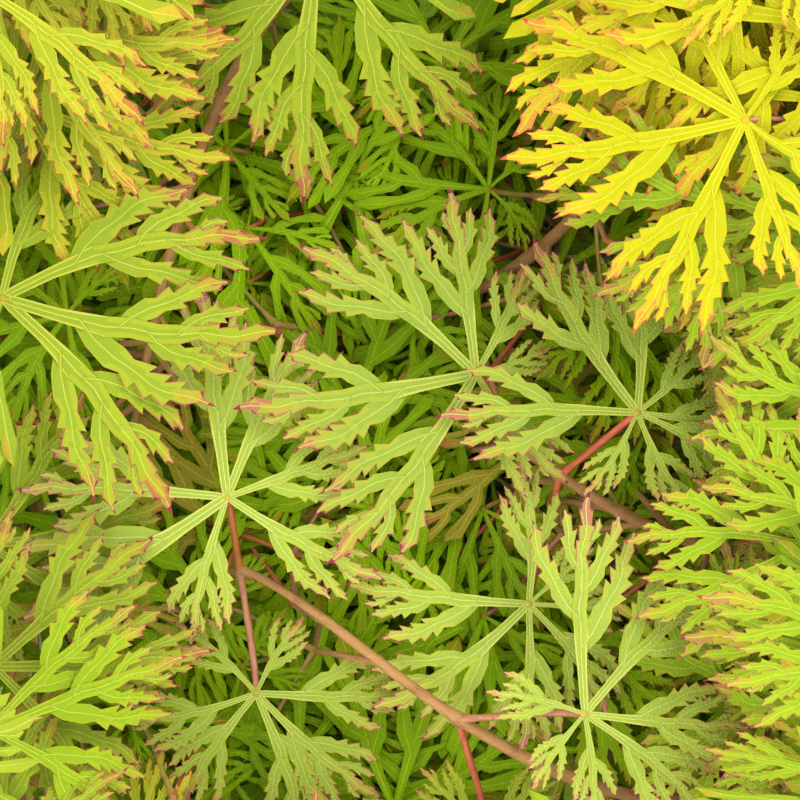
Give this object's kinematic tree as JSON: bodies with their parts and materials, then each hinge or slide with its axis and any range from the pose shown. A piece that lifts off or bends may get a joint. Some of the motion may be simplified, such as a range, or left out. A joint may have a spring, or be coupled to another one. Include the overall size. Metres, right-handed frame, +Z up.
{
  "type": "cut laceleaf maple branch",
  "caption": "Cut leafy branch of a green laceleaf Japanese maple with red-tipped, finely cut leaves, lying flat.",
  "frame": {"origin": "under the middle of the branch's bounding box, on the surface that it lies on", "axes": "+Z up from the surface, +Y from the cut end towards the crown, +X to the right seen from above"},
  "size_m": [0.3324, 0.328, 0.1356],
  "materials": {
    "stem_bark": "smooth brown-grey bark with fine lengthwise cracks and pores",
    "bough_bark": "smooth tan to red-brown bark of young shoots",
    "foliage": "thin soft sage-green leaves with pale ribs, yellow-green edges and crimson tooth tips"
  },
  "bodies": {
    "root": {"main_stem": "stem_bark", "bough_low_left": "bough_bark", "bough_low_right": "bough_bark", "bough_below_left": "bough_bark", "bough_below_right": "bough_bark", "bough_front_left": "bough_bark", "bough_front_right": "bough_bark", "bough_middle_left": "bough_bark", "bough_middle_right": "bough_bark", "bough_under_left": "bough_bark", "bough_under_right": "bough_bark", "bough_over_left": "bough_bark", "bough_over_right": "bough_bark", "bough_back_left": "bough_bark", "bough_back_right": "bough_bark", "bough_top_left": "bough_bark", "bough_top_right": "bough_bark", "foliage_low_left": "foliage", "foliage_low_right": "foliage", "foliage_below_left": "foliage", "foliage_below_right": "foliage", "foliage_front_left": "foliage", "foliage_front_right": "foliage", "foliage_middle_left": "foliage", "foliage_middle_right": "foliage", "foliage_under_left": "foliage", "foliage_under_right": "foliage", "foliage_over_left": "foliage", "foliage_over_right": "foliage", "foliage_back_left": "foliage", "foliage_back_right": "foliage", "foliage_top_left": "foliage", "foliage_top_right": "foliage", "foliage_tip": "foliage"}
  },
  "joints": []
}
